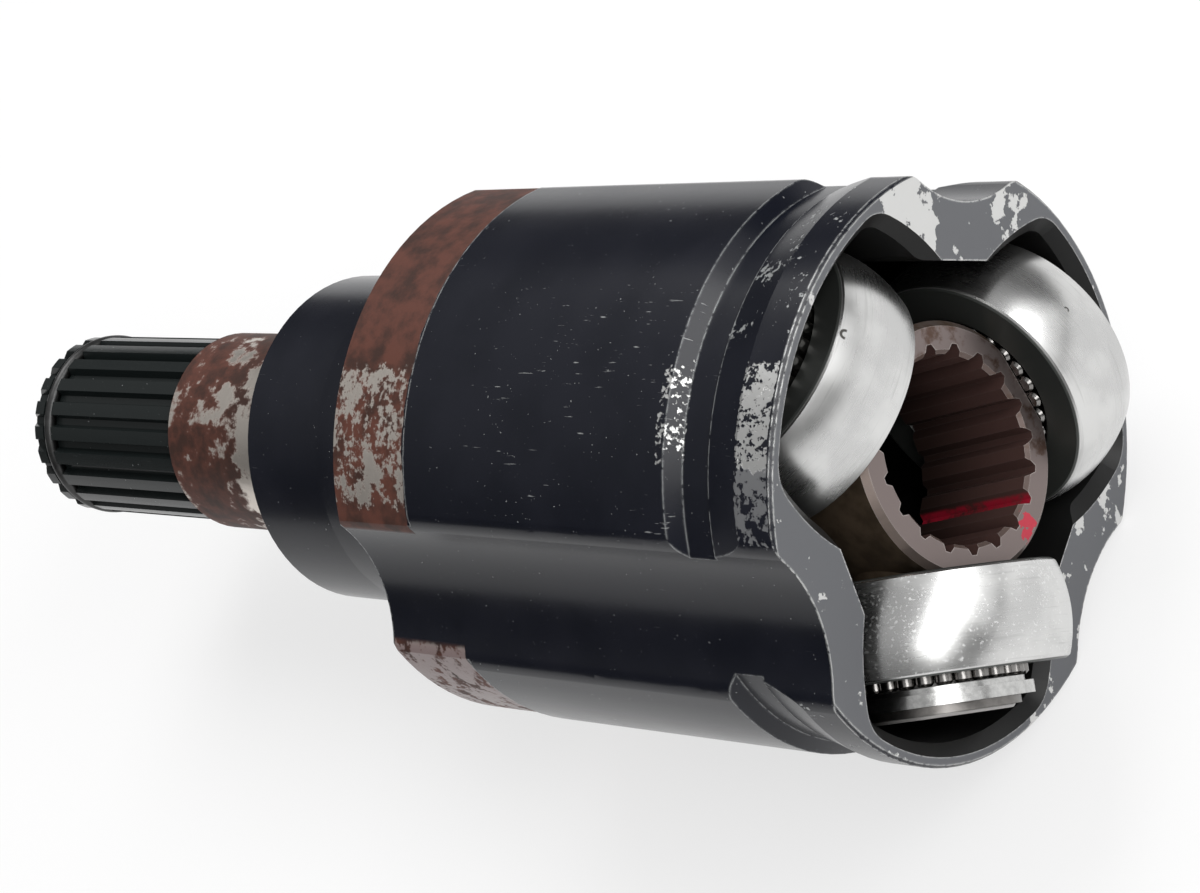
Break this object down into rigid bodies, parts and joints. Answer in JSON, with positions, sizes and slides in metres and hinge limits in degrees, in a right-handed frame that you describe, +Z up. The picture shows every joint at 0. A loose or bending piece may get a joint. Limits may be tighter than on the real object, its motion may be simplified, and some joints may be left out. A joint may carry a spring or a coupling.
{
  "type": "constant-velocity joint",
  "caption": "Plunging tripod constant-velocity joint: a black lobed housing with a splined stub, and inside it a splined spider whose needle rollers slide in the housing's tracks.",
  "frame": {"origin": "on the joint's axis at the rear face of the collar, where the oil seal's journal begins", "axes": "+X along the housing's axis towards its open mouth, +Z up through the middle of the lobe that points up, +Y to complete a right-handed frame"},
  "size_m": [0.1851, 0.075, 0.0731],
  "materials": {
    "housing": "satin black paint over forged steel, worn bare in places",
    "circlip": "dull dark spring wire",
    "spider": "hardened steel, darkened by grease and heat",
    "roller": "ground, satin",
    "needle": "ground and bright",
    "washer": "turned, bright",
    "snap_ring": "dark spring steel"
  },
  "bodies": {
    "housing": {"tulip_housing": "housing", "stub_circlip": "circlip"},
    "spider": {"tripod_spider": "spider", "washer_1": "washer", "washer_2": "washer", "washer_3": "washer", "snap_ring_1": "snap_ring", "snap_ring_2": "snap_ring", "snap_ring_3": "snap_ring"},
    "roller_1": {"roller_1": "roller"},
    "needles_1": {"needle_set_1": "needle"},
    "roller_2": {"roller_2": "roller"},
    "needles_2": {"needle_set_2": "needle"},
    "roller_3": {"roller_3": "roller"},
    "needles_3": {"needle_set_3": "needle"}
  },
  "joints": [
    {"name": "plunge", "type": "slide", "parent": "housing", "child": "roller_3", "axis": [1, 0, 0], "range_m": [-0.028, 0.004]},
    {"name": "articulation", "type": "hinge", "parent": "roller_3", "child": "spider", "pos_m": [0.0989, 0.00033, -0.00011], "axis": [0.0415, 0.868, -0.4948], "range_deg": [-5, 33]},
    {"name": "roller_1_spin", "type": "hinge", "parent": "spider", "child": "roller_1", "pos_m": [0.0989, 0.00033, -0.00011], "axis": [-0.2479, -0.012, 0.9687], "continuous": true},
    {"name": "roller_2_spin", "type": "hinge", "parent": "spider", "child": "roller_2", "pos_m": [0.0989, 0.00033, -0.00011], "axis": [0.2064, -0.856, -0.4739], "continuous": true},
    {"name": "needles_1_roll", "type": "hinge", "parent": "spider", "child": "needles_1", "pos_m": [0.0989, 0.00033, -0.00011], "axis": [-0.2479, -0.012, 0.9687], "continuous": true},
    {"name": "needles_2_roll", "type": "hinge", "parent": "spider", "child": "needles_2", "pos_m": [0.0989, 0.00033, -0.00011], "axis": [0.2064, -0.856, -0.4739], "continuous": true},
    {"name": "needles_3_roll", "type": "hinge", "parent": "spider", "child": "needles_3", "pos_m": [0.0989, 0.00033, -0.00011], "axis": [0.0415, 0.868, -0.4948], "range_deg": [-18.5, 3]}
  ],
  "couplings": [
    {"joint": "needles_1_roll", "follows": "roller_1_spin", "ratio": 0.5565},
    {"joint": "needles_2_roll", "follows": "roller_2_spin", "ratio": 0.5565},
    {"joint": "needles_3_roll", "follows": "articulation", "ratio": -0.5565}
  ]
}
